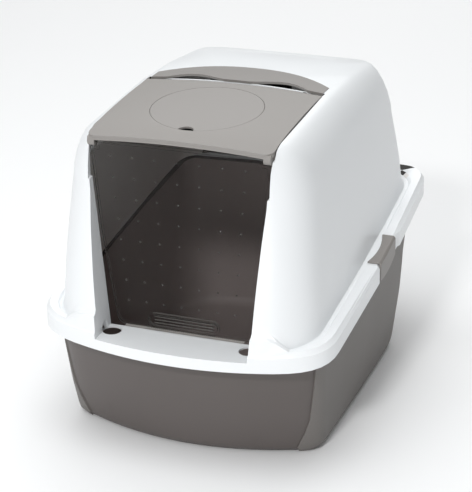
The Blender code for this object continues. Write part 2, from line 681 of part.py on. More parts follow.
def make_cover(parts, cutters, material):
    """Crowned panel with a turned-down edge, filter well, ears for the door and hinge pins."""
    half = COVER_HALF_WIDTH
    corner_xs = [half - COVER_CORNER_RADIUS * (1 - math.sin(math.pi / 2 * i / 4)) for i in range(5)]
    xs = spread(0, half - COVER_CORNER_RADIUS, 5)[:-1] + corner_xs
    xs = [-x for x in xs[:0:-1]] + xs
    cover = slab("access_cover", xs, cover_front, lambda x: HINGE_Y, lambda x, y: roof(x, y) - COVER_WALL, roof,
                 parts, material, steps=10)
    shade(cover)

    def join(piece):
        boolean(cover, as_cutter(piece), 'UNION')

    def cut(piece):
        boolean(cover, as_cutter(piece), 'DIFFERENCE')

    # edges: a round nose over the hinge, a skirt down each side and a shallow lip along the front
    join(cover_nose(cutters))
    for side, name in ((-1, "left skirt"), (1, "right skirt")):
        ends = sorted((side * (half - COVER_WALL), side * (half - HAIR)))
        join(slab(name, ends, lambda x: COVER_FRONT_Y + COVER_CORNER_RADIUS + HAIR, lambda x: HINGE_Y - HAIR,
                  lambda x, y: roof_edge(y) - COVER_WALL - COVER_SIDE_SKIRT,
                  lambda x, y: roof_edge(y) - COVER_WALL / 2, cutters, steps=10))
    join(slab("front lip", [x * (half - HAIR) / half for x in xs], lambda x: cover_front(x) + HAIR,
              lambda x: cover_front(x) + COVER_WALL, lambda x, y: roof(x, y) - COVER_WALL - COVER_LIP,
              lambda x, y: roof(x, y) - COVER_WALL / 2, cutters, steps=1))

    # filter well: a cup under the lid, with vent slots through its floor
    seat = -LID_EDGE_DROP - LID_THICKNESS - TOUCH
    bore = LID_RADIUS + TOUCH
    cup = LID_RADIUS - WELL_LEDGE
    join(turned("filter well", [(bore + WELL_WALL, -LID_EDGE_DROP - COVER_WALL / 2),
                                (bore + WELL_WALL, seat - WELL_WALL), (cup + WELL_WALL, seat - WELL_WALL),
                                (cup + WELL_WALL, seat - WELL_DEPTH - WELL_WALL), (0, seat - WELL_DEPTH - WELL_WALL)],
                cutters))
    cut(turned("filter hollow", [(bore, BEYOND), (bore, seat), (cup, seat), (cup, seat - WELL_DEPTH),
                                 (0, seat - WELL_DEPTH)], cutters))
    ledge_notch = LEDGE_NOTCH_RADIUS - LID_RADIUS
    hole = cylinder("ledge notch", LEDGE_NOTCH_RADIUS, (0, ledge_notch, seat - WELL_WALL - HAIR),
                    (0, ledge_notch, seat + SINK), cutters)
    hole.data.transform(filter_frame())
    cut(hole)
    for i in range(-3, 4):
        reach = math.sqrt((cup - VENT_MARGIN) ** 2 - (i * VENT_PITCH) ** 2)
        vent = box(f"vent {i + 4}", (-reach, i * VENT_PITCH - VENT_WIDTH / 2, seat - WELL_DEPTH - BEYOND),
                   (reach, i * VENT_PITCH + VENT_WIDTH / 2, seat - WELL_DEPTH / 2), cutters)
        vent.data.transform(filter_frame())
        cut(vent)

    # an ear for each door pin, and a knuckle with its pin at each rear corner
    for side, name in ((-1, "left"), (1, "right")):
        ear = rounded_tab(PIVOT_Y, PIVOT_HEIGHT, EAR_RADIUS, EAR_FRONT)
        join(prism(f"{name} ear", [(side * EAR_INNER_X, y, z) for y, z in ear], (side * EAR_THICKNESS, 0, 0), cutters))
        knuckle = rounded_tab(HINGE_Y, HINGE_HEIGHT, KNUCKLE_RADIUS, KNUCKLE_FRONT)
        start = half - COVER_WALL * 2
        join(prism(f"{name} knuckle", [(side * start, y, z) for y, z in knuckle],
                   (side * (half - HAIR - start), 0, 0), cutters))
        join(cylinder(f"{name} hinge pin", HINGE_PIN_RADIUS, (side * (half - COVER_WALL), HINGE_Y, HINGE_HEIGHT),
                      (side * hinge_reach(), HINGE_Y, HINGE_HEIGHT), cutters))
        cut(cylinder(f"{name} door bore", PIN_RADIUS + PIN_CLEARANCE,
                     (side * (EAR_INNER_X - FIT), PIVOT_Y, PIVOT_HEIGHT),
                     (side * (EAR_INNER_X + PIN_REACH + FIT), PIVOT_Y, PIVOT_HEIGHT), cutters))
    put_origin(cover, (0, HINGE_Y, HINGE_HEIGHT))


def rounded_tab(y, z, radius, front):
    """Side view of a tab that hangs from the cover round a pin at (y, z)."""
    points = [(y - front, roof_edge(y - front) - COVER_WALL / 2)]
    for i in range(9):
        angle = math.pi * (1 + i / 8)
        points.append((y + radius * math.cos(angle), z + radius * math.sin(angle)))
    points[1] = (y - max(front, radius), z)
    return points + [(y + radius, roof_edge(y + radius) - COVER_WALL / 2)]


# ---------------------------------------------------------------- odour filter

def filter_slope():
    step = 0.001
    return math.atan2(roof(0, FILTER_Y + step) - roof(0, FILTER_Y - step), 2 * step)


def filter_frame():
    """Frame on the roof at the filter's middle, with its Z square to the cover."""
    return Matrix.Translation((0, FILTER_Y, roof(0, FILTER_Y))) @ Matrix.Rotation(filter_slope(), 4, 'X')


def on_roof(x, y, below=0.0):
    """The point of the roof over (x, y) in the filter's frame, in that frame."""
    frame = filter_frame()
    normal = frame.to_3x3() @ Vector((0, 0, 1))
    point = frame @ Vector((x, y, 0))
    for _ in range(3):
        point += normal * (roof(point.x, point.y) - point.z)
    return frame.inverted() @ point - Vector((0, 0, below))


def turned(name, profile, collection, segments=48):
    """A turned solid in the filter's frame: the profile runs down its outer side to the middle."""
    bm = bmesh.new()
    verts = [bm.verts.new((0, 0, profile[0][1]))]
    verts += [bm.verts.new((radius, 0, height)) for radius, height in profile]
    edges = [bm.edges.new(pair) for pair in zip(verts, verts[1:])]
    bmesh.ops.spin(bm, geom=verts + edges, axis=(0, 0, 1), cent=(0, 0, 0), steps=segments, angle=2 * math.pi)
    bmesh.ops.transform(bm, matrix=filter_frame(), verts=bm.verts)
    return object_from(bm, name, collection)


def make_filter(parts, cutters, lid_material, pad_material):
    """Domed lid, flush with the cover, with a finger notch in its front edge; carbon pad below."""
    segments = 48

    def circle(radius, below=0.0, flat=False):
        points = []
        for i in range(segments):
            angle = 2 * math.pi * i / segments
            x = radius * math.cos(angle)
            y = radius * math.sin(angle)
            local = Vector((x, y, -LID_EDGE_DROP - LID_THICKNESS)) if flat else on_roof(x, y, below)
            points.append(filter_frame() @ local)
        return points

    bm = bmesh.new()
    loops = loft(bm, [circle(LID_RADIUS * 0.35), circle(LID_RADIUS * 0.7), circle(LID_RADIUS),
                      circle(LID_RADIUS, flat=True), circle(LID_RADIUS * 0.5, flat=True)])
    fan(bm, loops[0], filter_frame() @ on_roof(0, 0))
    fan(bm, loops[-1], filter_frame() @ Vector((0, 0, -LID_EDGE_DROP - LID_THICKNESS)))
    lid = object_from(bm, "filter_lid", parts, lid_material)
    shade(lid)
    notch = filter_frame() @ Vector((0, -LID_RADIUS, 0))
    boolean(lid, as_cutter(cylinder("finger notch", LID_NOTCH_RADIUS, notch - Vector((0, 0, BEYOND)),
                                    notch + Vector((0, 0, BEYOND)), cutters)), 'DIFFERENCE')

    put_origin(lid, filter_frame().translation)

    low = -LID_EDGE_DROP - LID_THICKNESS - WELL_DEPTH
    radius = LID_RADIUS - WELL_LEDGE - FIT
    pad = turned("carbon_filter", [(radius, low + PAD_THICKNESS), (radius, low), (0, low)], parts)
    pad.data.materials.append(pad_material)
    shade(pad)


# ---------------------------------------------------------------- carry handle

def handle_front(x):
    """Front edge of the handle's seat, just behind the cover's round rear edge."""
    return nose_y(x) + FIT


def handle_rear(x, grow=0.0):
    """Rear edge of the handle, an arch in plan."""
    share = min(abs(x) / (HANDLE_HALF_LENGTH + grow), 1.0)
    ends = nose_y(0) + HANDLE_END_DEPTH + grow
    return ends + (HANDLE_REAR_Y - nose_y(0) - HANDLE_END_DEPTH) * (1 - share ** 2.4)


def pocket_floor(x, y):
    """Just below the roof at the finger slots, falling to full depth under the grip."""
    share = min(max((y - nose_y(0) - FIT) / POCKET_RUN, 0.0), 1.0)
    fall = share * share * (3 - 2 * share)
    return roof(x, y) - POCKET_FRONT_DEPTH - (POCKET_DEPTH - POCKET_FRONT_DEPTH) * fall


def make_handle(parts, cutters, material):
    half = HANDLE_HALF_LENGTH
    handle = slab("carry_handle", spread(-half, half, 18), handle_front, handle_rear,
                  lambda x, y: roof(x, y) - HANDLE_THICKNESS, roof, parts, material)
    shade(handle)
    for side, name in ((-1, "left finger slot"), (1, "right finger slot")):
        xs = spread(side * SLOT_INNER_X, side * SLOT_OUTER_X, 10)
        if side < 0:
            xs = xs[::-1]

        def slot_rear(x):
            share = (abs(x) - SLOT_INNER_X) / (SLOT_OUTER_X - SLOT_INNER_X)
            bulge = math.sin(math.pi * min(max(share, 0.0), 1.0) ** 1.3)
            return handle_front(x) + SINK + SLOT_DEPTH * max(bulge, 0.0)

        boolean(handle, as_cutter(slab(name, xs, lambda x: handle_front(x) - FIT * 4, slot_rear,
                                       lambda x, y: roof(x, y) - BEYOND, lambda x, y: ABOVE_ROOF, cutters, steps=1)),
                'DIFFERENCE')


# ---------------------------------------------------------------- door

def door_half(height):
    if height > DOOR_MIDDLE:
        share = (height - DOOR_MIDDLE) / (DOOR_TOP - DOOR_MIDDLE)
        return DOOR_HALF_MIDDLE + (DOOR_HALF_TOP - DOOR_HALF_MIDDLE) * share
    share = (height - DOOR_BOTTOM) / (DOOR_MIDDLE - DOOR_BOTTOM)
    return DOOR_HALF_BOTTOM + (DOOR_HALF_MIDDLE - DOOR_HALF_BOTTOM) * share


def door_points(y, inset=0.0):
    """Outline of the door in a plane: rounded foot, and cut-outs round the cover's ears."""
    radius = DOOR_CORNER_RADIUS
    low = DOOR_BOTTOM + inset
    shoulder = PIVOT_HEIGHT - EAR_RADIUS - FIT - inset
    neck = EAR_INNER_X - FIT - inset
    right = []
    for i in range(6):
        angle = math.pi / 2 * i / 5
        right.append((door_half(low) - inset - radius + radius * math.sin(angle),
                      low + radius - radius * math.cos(angle)))
    right += [(door_half(DOOR_MIDDLE) - inset, DOOR_MIDDLE), (door_half(shoulder) - inset, shoulder),
              (neck, shoulder), (neck, DOOR_TOP - inset)]
    return [(x, y, z) for x, z in right] + [(-x, y, z) for x, z in right[::-1]]


def racetrack(y, half_length, half_height):
    points = []
    flat = half_length - half_height
    for middle, start in ((flat, -math.pi / 2), (-flat, math.pi / 2)):
        for i in range(9):
            angle = start + math.pi * i / 8
            points.append((middle + half_height * math.cos(angle), y, GRIP_HEIGHT + half_height * math.sin(angle)))
    return points


def make_door(parts, cutters, material):
    """Flat flap with a raised edge, a raised grip ring and a pin at each top corner."""
    front = PIVOT_Y - DOOR_THICKNESS / 2
    door = prism("swing_door", door_points(front), (0, DOOR_THICKNESS, 0), parts)
    door.data.materials.append(material)
    shade(door)
    edge = as_cutter(prism("door edge", door_points(front - DOOR_EDGE_RISE, HAIR),
                           (0, DOOR_EDGE_RISE + SINK, 0), cutters))
    boolean(edge, as_cutter(prism("door field", door_points(front - BEYOND, DOOR_RIM), (0, BEYOND * 2, 0), cutters)),
            'DIFFERENCE')
    boolean(door, edge, 'UNION')
    grip = as_cutter(prism("grip ring", racetrack(front - GRIP_RISE, GRIP_HALF_LENGTH, GRIP_HALF_HEIGHT),
                           (0, GRIP_RISE + SINK, 0), cutters))
    hollow = prism("grip hollow", racetrack(front - BEYOND, GRIP_HALF_LENGTH - GRIP_WALL, GRIP_HALF_HEIGHT - GRIP_WALL),
                   (0, BEYOND * 2, 0), cutters)
    boolean(grip, as_cutter(hollow), 'DIFFERENCE')
    boolean(door, grip, 'UNION')
    for side, name in ((-1, "left"), (1, "right")):
        pin = cylinder(f"{name} door pin", PIN_RADIUS, (side * (EAR_INNER_X - PIN_REACH), PIVOT_Y, PIVOT_HEIGHT),
                       (side * (EAR_INNER_X + PIN_REACH), PIVOT_Y, PIVOT_HEIGHT), cutters, segments=16)
        boolean(door, as_cutter(pin), 'UNION')
    put_origin(door, (0, PIVOT_Y, PIVOT_HEIGHT))


# ---------------------------------------------------------------- side clips

def make_clip(side, name, parts, material):
    """Saddle clip: a waisted plate on the flange, and a leaf over the skirt."""
    sections = []
    for s in spread(-1, 1, 8):
        y = CLIP_Y + s * CLIP_LENGTH / 2
        skirt = HALF_WIDTH - SKIRT_SIDE_BOW * (y / HALF_LENGTH) ** 2
        outer = skirt + CLIP_PROUD
        inner = skirt - CLIP_THICKNESS + TOUCH
        under = split(y) + SKIRT_DEPTH - BEAD_HEIGHT + TOUCH
        top = under + CLIP_THICKNESS
        back = skirt - CLIP_TOP_WIDTH + CLIP_WAIST * (1 - s * s)
        low = split(y) - CLIP_DROP * (1 - s * s)
        round_off = SKIRT_EDGE_RADIUS
        profile = [(back, top - round_off / 3), (back + round_off / 3, top), (outer - round_off, top),
                   (outer, top - round_off), (outer, low), (inner, low), (inner, under), (back, under)]
        sections.append([Vector((side * x, y, z)) for x, z in profile])
    bm = bmesh.new()
    loops = loft(bm, sections)
    bm.faces.new(loops[0])
    bm.faces.new(loops[-1])
    clip = object_from(bm, name, parts, material)
    shade(clip)
    turn_x = HALF_WIDTH - CLIP_TOP_WIDTH - FIT
    put_origin(clip, (side * turn_x, CLIP_Y, split(CLIP_Y) + SKIRT_DEPTH - BEAD_HEIGHT + TOUCH))


# ---------------------------------------------------------------- assembly

def build():
    clear_scene()
    parts = new_collection("hooded_litter_box")
    cutters = new_collection("cutters")
    warm_grey = plastic("warm grey plastic", (0.135, 0.120, 0.112), 0.42)
    white = plastic("gloss white plastic", (0.82, 0.85, 0.87), 0.20)
    cover_grey = plastic("cover grey plastic", (0.400, 0.375, 0.355), 0.40)
    lid_grey = plastic("lid grey plastic", (0.400, 0.375, 0.355), 0.40)
    handle_grey = plastic("handle grey plastic", (0.390, 0.365, 0.345), 0.40)
    left_clip_grey = plastic("left clip grey plastic", (0.330, 0.305, 0.288), 0.45)
    right_clip_grey = plastic("right clip grey plastic", (0.330, 0.305, 0.288), 0.45)
    smoke = plastic("smoked clear plastic", (0.120, 0.105, 0.095), 0.08, alpha=0.55)
    carbon = plastic("carbon filter felt", (0.020, 0.020, 0.022), 0.95)

    make_pan(parts, warm_grey)
    make_hood(parts, cutters, white)
    make_cover(parts, cutters, cover_grey)
    make_filter(parts, cutters, lid_grey, carbon)
    make_handle(parts, cutters, handle_grey)
    make_door(parts, cutters, smoke)
    make_clip(-1, "latch_left", parts, left_clip_grey)
    make_clip(1, "latch_right", parts, right_clip_grey)


build()
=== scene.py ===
"""Hooded cat litter box: looks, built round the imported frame. Metres, +Z up, doorway towards -Y."""
import math

import bpy
from mathutils import Matrix, Vector


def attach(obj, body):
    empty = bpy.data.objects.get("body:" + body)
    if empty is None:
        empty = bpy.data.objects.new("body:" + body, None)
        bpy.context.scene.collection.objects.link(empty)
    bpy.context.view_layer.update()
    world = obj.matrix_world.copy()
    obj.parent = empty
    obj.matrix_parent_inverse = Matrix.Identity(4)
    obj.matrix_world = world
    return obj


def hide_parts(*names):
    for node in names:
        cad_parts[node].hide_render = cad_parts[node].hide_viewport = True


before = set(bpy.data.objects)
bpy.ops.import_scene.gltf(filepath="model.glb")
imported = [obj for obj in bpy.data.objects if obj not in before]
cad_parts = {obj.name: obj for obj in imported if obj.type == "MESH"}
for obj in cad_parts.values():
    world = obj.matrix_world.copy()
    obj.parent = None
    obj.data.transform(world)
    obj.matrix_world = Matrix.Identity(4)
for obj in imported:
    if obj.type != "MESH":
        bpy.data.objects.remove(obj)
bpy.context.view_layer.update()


# ---------------------------------------------------------------- studio
# A pale floor under a soft grey-white room: a broad light overhead, a small key light high in front of
# the doorway, a low wide fill in front and a light on the floor behind.
# The camera stands above the doorway's right-hand corner with a long lens.

FLOOR_COLOUR = (0.93, 0.935, 0.94)
FLOOR_HALF = 12.0
FLOOR_ROUGHNESS = 0.9
FLOOR_SPECULAR = 0.1
WORLD_COLOUR = (1.0, 1.0, 1.0)
WORLD_STRENGTH = 0.27
WHITE_LIGHT = (1.0, 1.0, 1.0)
COOL_LIGHT = (0.98, 0.995, 1.0)
LIGHTS = (                  # name, place, aim, width and height, watts, colour
    ("overhead", (-0.3, -0.1, 3.0), (-0.05, 0, 0.3), (2.8, 2.8), 60, COOL_LIGHT),
    ("key", (0.10, -2.79, 2.33), (0, 0, 0.2), (0.45, 0.30), 42, WHITE_LIGHT),
    ("low fill", (0.1, -3.2, 0.35), (0, 0, 0.2), (2.6, 0.7), 19, WHITE_LIGHT),
    ("background", (-1.0, 4.6, 3.2), (-1.0, 4.6, 0), (4.5, 4.5), 105, WHITE_LIGHT),
)
CAMERA_AZIMUTH = math.radians(21.377)
CAMERA_ELEVATION = math.radians(23.140)
CAMERA_DISTANCE = 2.4724
CAMERA_AIM = Vector((-0.0079, 0.0, 0.2072))
CAMERA_ROLL = math.radians(-1.148)
CAMERA_LENS = 122.13
CAMERA_FARTHEST = 60

scene = bpy.context.scene
scene.view_settings.view_transform = "Standard"
scene.view_settings.look = "None"

world = bpy.data.worlds.new("studio")
world.use_nodes = True
scene.world = world
world.node_tree.nodes["Background"].inputs["Color"].default_value = (*WORLD_COLOUR, 1.0)
world.node_tree.nodes["Background"].inputs["Strength"].default_value = WORLD_STRENGTH


def nothing_selected():
    """Leave nothing selected and edit mode off."""
    if bpy.context.object and bpy.context.object.mode != "OBJECT":
        bpy.ops.object.mode_set(mode="OBJECT")
    bpy.ops.object.select_all(action="DESELECT")


nothing_selected()
bpy.ops.mesh.primitive_plane_add(size=FLOOR_HALF * 2)
floor = bpy.context.object
floor.name = "floor"
floor_paint = bpy.data.materials.new("pale floor")
floor_paint.use_nodes = True
floor_shader = floor_paint.node_tree.nodes["Principled BSDF"]
floor_shader.inputs["Base Color"].default_value = (*FLOOR_COLOUR, 1.0)
floor_shader.inputs["Roughness"].default_value = FLOOR_ROUGHNESS
floor_shader.inputs["Specular IOR Level"].default_value = FLOOR_SPECULAR
floor.data.materials.append(floor_paint)

for name, place, aim, size, power, colour in LIGHTS:
    soft_box = bpy.data.lights.new(name, "AREA")
    soft_box.shape = "RECTANGLE"
    soft_box.size, soft_box.size_y = size
    soft_box.energy = power
    soft_box.color = colour
    lamp = bpy.data.objects.new(name, soft_box)
    lamp.location = place
    lamp.rotation_euler = (Vector(aim) - Vector(place)).to_track_quat("-Z", "Y").to_euler()
    scene.collection.objects.link(lamp)

away = Vector((math.sin(CAMERA_AZIMUTH) * math.cos(CAMERA_ELEVATION),
               -math.cos(CAMERA_AZIMUTH) * math.cos(CAMERA_ELEVATION), math.sin(CAMERA_ELEVATION)))
camera = bpy.data.objects.new("camera", bpy.data.cameras.new("camera"))
scene.collection.objects.link(camera)
level = (-away).to_track_quat("-Z", "Y").to_matrix()
camera.matrix_world = (Matrix.Translation(CAMERA_AIM + away * CAMERA_DISTANCE)
                       @ (level @ Matrix.Rotation(CAMERA_ROLL, 3, "Z")).to_4x4())
camera.data.lens = CAMERA_LENS
camera.data.clip_end = CAMERA_FARTHEST
scene.camera = camera


# ---------------------------------------------------------------- tub
# Deep tapered tub, injection-moulded in warm dark-grey polypropylene with a satin skin.
# Each side has a panel that stands a little proud of the rounded corners.

# painted light: the tub's inside walls and bottom are coloured much lighter than its outside grey, for the
# light that falls in through the doorway
TUB_INSIDE_PAINTED_LIGHT = (0.42, 0.355, 0.342)
TUB_GREY = (0.104, 0.090, 0.085)
TUB_ROUGHNESS = 0.46
TUB_EDGE = 0.0007           # rounding of the tub's sharp edges
TUB_MIDDLE = Vector((0, 0, 0.20))
TUB_BOTTOM_Z = 0.02         # level faces below this are the tub's bottom
# painted light: the side panels are coloured lighter than the tub's own grey, for the light that falls on
# the tub's sides
PANEL_GREY_PAINTED_LIGHT = (0.165, 0.153, 0.144)
PANEL_ROUGHNESS = 0.55      # the panels' and the tub's inside
PANEL_RISE = 0.0022
PANEL_SINK = 0.001          # how far a panel reaches into the wall it stands on
PANEL_EDGE = 0.0006
PANEL_TOP_Y = -0.2165       # panel's front and rear edges at PANEL_TOP_Z, and their lean towards the foot
PANEL_REAR_Y = 0.196
PANEL_TOP_Z = 0.137
PANEL_LEAN = 0.080
PANEL_LEAST_X = 0.1         # the side walls lie outside this, and face outwards at least this much
PANEL_LEAST_FACING = 0.30
SPLIT_FRONT_Y = -0.285      # the panels end just above the foot of the hood's skirt, which rises to the rear
SPLIT_FRONT_Z = 0.1493
SPLIT_SLOPE = 0.147
WALL_TOP_Z = 0.2            # wall faces below this height over the middle, along the same slope
LEVEL = 0.9                 # a face that points up or down at least this much is level

MERGE = 0.00002             # corners closer than this are one
FLATTEN = 0.4               # degrees between faces that are really one flat face
SMOOTH = 32                 # degrees over which shading runs on, before and after the edges are rounded
SMOOTH_ROUNDED = 50
SHARP = 34                  # degrees past which an edge is rounded


def copy_of(node, name, flatten=FLATTEN):
    """A finished-mesh copy of a CAD node: one skin, flat faces whole, smooth between sharp edges."""
    nothing_selected()
    piece = bpy.data.objects.new(name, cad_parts[node].data.copy())
    scene.collection.objects.link(piece)
    bpy.context.view_layer.objects.active = piece
    piece.select_set(True)
    piece.data.materials.clear()
    if piece.data.has_custom_normals:
        bpy.ops.mesh.customdata_custom_splitnormals_clear()
    bpy.ops.object.mode_set(mode="EDIT")
    bpy.ops.mesh.select_all(action="SELECT")
    bpy.ops.mesh.remove_doubles(threshold=MERGE)
    bpy.ops.mesh.dissolve_limited(angle_limit=math.radians(flatten))
    bpy.ops.object.mode_set(mode="OBJECT")
    bpy.ops.object.shade_smooth_by_angle(angle=math.radians(SMOOTH))
    return piece


def soften(piece, width, segments=2):
    """Round a piece's sharp edges and keep its faces smooth."""
    nothing_selected()
    bpy.context.view_layer.objects.active = piece
    piece.select_set(True)
    bevel = piece.modifiers.new("rounded edges", "BEVEL")
    bevel.width = width
    bevel.segments = segments
    bevel.limit_method = "ANGLE"
    bevel.angle_limit = math.radians(SHARP)
    bpy.ops.object.modifier_apply(modifier=bevel.name)
    bpy.ops.object.shade_smooth_by_angle(angle=math.radians(SMOOTH_ROUNDED))


COAT_ROUGHNESS = 0.08
CLOUD_DETAIL = 4.0
GLOSS_SPREAD = 0.12         # how far the roughness wanders either side, as a share
SKIN_SCALE = 900.0          # fine texture of the mould's surface
SKIN_DETAIL = 2.0
SKIN_DEPTH = 0.0003


def moulded(name, colour, roughness, mottle=0.05, grain=0.10, specular=0.5, coat=0.0, patch=9.0):
    """Injection-moulded plastic: faint clouding of the colour and gloss, and a fine skin texture."""
    material = bpy.data.materials.new(name)
    material.use_nodes = True
    nodes = material.node_tree.nodes
    links = material.node_tree.links
    shader = nodes["Principled BSDF"]
    shader.inputs["Specular IOR Level"].default_value = specular
    shader.inputs["Coat Weight"].default_value = coat
    shader.inputs["Coat Roughness"].default_value = COAT_ROUGHNESS
    place = nodes.new("ShaderNodeTexCoord")
    cloud = nodes.new("ShaderNodeTexNoise")
    cloud.inputs["Scale"].default_value = patch
    cloud.inputs["Detail"].default_value = CLOUD_DETAIL
    links.new(place.outputs["Object"], cloud.inputs["Vector"])
    tint = nodes.new("ShaderNodeMix")
    tint.data_type = "RGBA"
    tint.inputs["A"].default_value = (*[c * (1 - mottle) for c in colour], 1.0)
    tint.inputs["B"].default_value = (*[min(c * (1 + mottle), 1.0) for c in colour], 1.0)
    links.new(cloud.outputs["Fac"], tint.inputs["Factor"])
    links.new(tint.outputs["Result"], shader.inputs["Base Color"])
    gloss = nodes.new("ShaderNodeMapRange")
    gloss.inputs["To Min"].default_value = roughness * (1 - GLOSS_SPREAD)
    gloss.inputs["To Max"].default_value = roughness * (1 + GLOSS_SPREAD)
    links.new(cloud.outputs["Fac"], gloss.inputs["Value"])
    links.new(gloss.outputs["Result"], shader.inputs["Roughness"])
    skin = nodes.new("ShaderNodeTexNoise")
    skin.inputs["Scale"].default_value = SKIN_SCALE
    skin.inputs["Detail"].default_value = SKIN_DETAIL
    links.new(place.outputs["Object"], skin.inputs["Vector"])
    bump = nodes.new("ShaderNodeBump")
    bump.inputs["Strength"].default_value = grain
    bump.inputs["Distance"].default_value = SKIN_DEPTH
    links.new(skin.outputs["Fac"], bump.inputs["Height"])
    links.new(bump.outputs["Normal"], shader.inputs["Normal"])
    return material


def select_faces(piece, test):
    """Select the faces of a mesh that pass a test of their middle and normal, in edit mode."""
    nothing_selected()
    bpy.context.view_layer.objects.active = piece
    piece.select_set(True)
    bpy.ops.object.mode_set(mode="EDIT")
    bpy.ops.mesh.select_mode(type="FACE")
    bpy.ops.mesh.select_all(action="DESELECT")
    bpy.ops.object.mode_set(mode="OBJECT")
    for face in piece.data.polygons:
        face.select = test(face.center, face.normal)
    bpy.ops.object.mode_set(mode="EDIT")


def cut_away(point, normal):
    """Bisect the mesh in edit mode and drop the part that the normal points at."""
    bpy.ops.mesh.select_all(action="SELECT")
    bpy.ops.mesh.bisect(plane_co=point, plane_no=Vector(normal).normalized(), clear_outer=True)


def off_the_wall(side):
    """A test for the faces that aren't part of the side wall below the hood."""
    def test(middle, normal):
        return not (normal.x * side > PANEL_LEAST_FACING and middle.x * side > PANEL_LEAST_X
                    and middle.z < WALL_TOP_Z + SPLIT_SLOPE * middle.y)
    return test


tub_plastic = moulded("warm grey polypropylene", TUB_GREY, TUB_ROUGHNESS)
panel_painted_light_plastic = moulded("warm grey polypropylene, matt, painted light", PANEL_GREY_PAINTED_LIGHT, PANEL_ROUGHNESS)
tub = copy_of("base_pan", "tub")
for side, word in ((-1, "left"), (1, "right")):
    panel = copy_of("base_pan", f"tub_panel_{word}")
    select_faces(panel, off_the_wall(side))
    bpy.ops.mesh.delete(type="FACE")
    cut_away((0, PANEL_TOP_Y, PANEL_TOP_Z), (0, -1, -PANEL_LEAN))
    cut_away((0, PANEL_REAR_Y, PANEL_TOP_Z), (0, 1, -PANEL_LEAN))
    cut_away((0, SPLIT_FRONT_Y, SPLIT_FRONT_Z), (0, -SPLIT_SLOPE, 1))
    bpy.ops.object.mode_set(mode="OBJECT")
    thicken = panel.modifiers.new("raise", "SOLIDIFY")
    thicken.thickness = PANEL_RISE + PANEL_SINK
    thicken.offset = PANEL_RISE * 2 / (PANEL_RISE + PANEL_SINK) - 1
    thicken.use_even_offset = True
    bpy.ops.object.modifier_apply(modifier=thicken.name)
    bpy.ops.object.shade_smooth_by_angle(angle=math.radians(SMOOTH))
    soften(panel, PANEL_EDGE)
    panel.data.materials.append(panel_painted_light_plastic)
    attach(panel, "tub")
soften(tub, TUB_EDGE)
tub.data.materials.append(tub_plastic)
tub.data.materials.append(moulded("warm grey polypropylene, inside, painted light", TUB_INSIDE_PAINTED_LIGHT, PANEL_ROUGHNESS))
# painted light: the inside walls and the bottom take the lighter inside colour
for face in tub.data.polygons:
    standing = abs(face.normal.z) < LEVEL
    bottom = face.normal.z > LEVEL and face.center.z < TUB_BOTTOM_Z
    if (standing or bottom) and face.normal.dot(face.center - TUB_MIDDLE) < 0:
        face.material_index = 1
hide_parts("base_pan")
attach(tub, "tub")


# ---------------------------------------------------------------- hood
# One white polypropylene moulding, glossy outside: roof, shoulders, walls, doorway lining and flange.
# It stands on the tub's rim on a rib inside the flange.

HOOD_WHITE = (0.84, 0.86, 0.875)
HOOD_ROUGHNESS = 0.30
HOOD_COAT = 0.10
HOOD_MOTTLE = 0.005
HOOD_GRAIN = 0.03
HOOD_INSIDE = (0.80, 0.78, 0.76)        # side walls, inside
HOOD_INSIDE_ROUGHNESS = 0.6
HOOD_PAINTED_SHADE = (0.020, 0.017, 0.015)     # painted shade on the rear wall and roof, inside
HOOD_PAINTED_SHADE_ROUGHNESS = 0.7
INSIDE_MOTTLE = (0.03, 0.05)            # side walls, and rear wall and roof
INSIDE_GRAIN = 0.04
HOOD_FLATTEN = 0.02
HOOD_EDGE = 0.0006
CABIN_MIDDLE = Vector((0, 0, 0.27))
CABIN_HALF_WIDTH = 0.189
CABIN_FRONT_Y = -0.214
CABIN_REAR_Y = 0.2545
SIDE_FACING = 0.35          # a face that points sideways at least this much belongs to a side wall

hood = copy_of("hood_shell", "hood", flatten=HOOD_FLATTEN)
soften(hood, HOOD_EDGE)
for plastic in (
    moulded("gloss white polypropylene", HOOD_WHITE, HOOD_ROUGHNESS, mottle=HOOD_MOTTLE,
            grain=HOOD_GRAIN, coat=HOOD_COAT),
    moulded("white polypropylene, inside", HOOD_INSIDE, HOOD_INSIDE_ROUGHNESS,
            mottle=INSIDE_MOTTLE[0], grain=INSIDE_GRAIN),
    moulded("painted shade, inside rear", HOOD_PAINTED_SHADE, HOOD_PAINTED_SHADE_ROUGHNESS,
            mottle=INSIDE_MOTTLE[1], grain=INSIDE_GRAIN),
):
    hood.data.materials.append(plastic)
# faces inside the cabin: side walls take the white inside colour, the rear wall and roof the painted shade
for face in hood.data.polygons:
    within = abs(face.center.x) < CABIN_HALF_WIDTH and CABIN_FRONT_Y < face.center.y < CABIN_REAR_Y
    if within and face.normal.dot(face.center - CABIN_MIDDLE) < 0:
        face.material_index = 1 if abs(face.normal.x) > SIDE_FACING else 2
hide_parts("hood_shell")
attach(hood, "hood")


# ---------------------------------------------------------------- cover
# Light-grey satin panel that closes the front of the roof. It turns on two moulded pins at its rear
# corners, and carries the filter's well and an ear for each of the door's pins.

COVER_GREY = (0.262, 0.247, 0.234)
SATIN = 0.42                # roughness of the cover, the lid and the handle
SATIN_MOTTLE = 0.03
COVER_EDGE = 0.0005

cover = copy_of("access_cover", "cover")
soften(cover, COVER_EDGE)
cover.data.materials.append(moulded("light grey polypropylene", COVER_GREY, SATIN, mottle=SATIN_MOTTLE))
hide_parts("access_cover")
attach(cover, "cover")


# ---------------------------------------------------------------- filter lid and carbon pad
# Round lid, flush in the cover, with a small crescent notch to lift it by. The black carbon felt pad
# lies on the vented floor of the well below it.

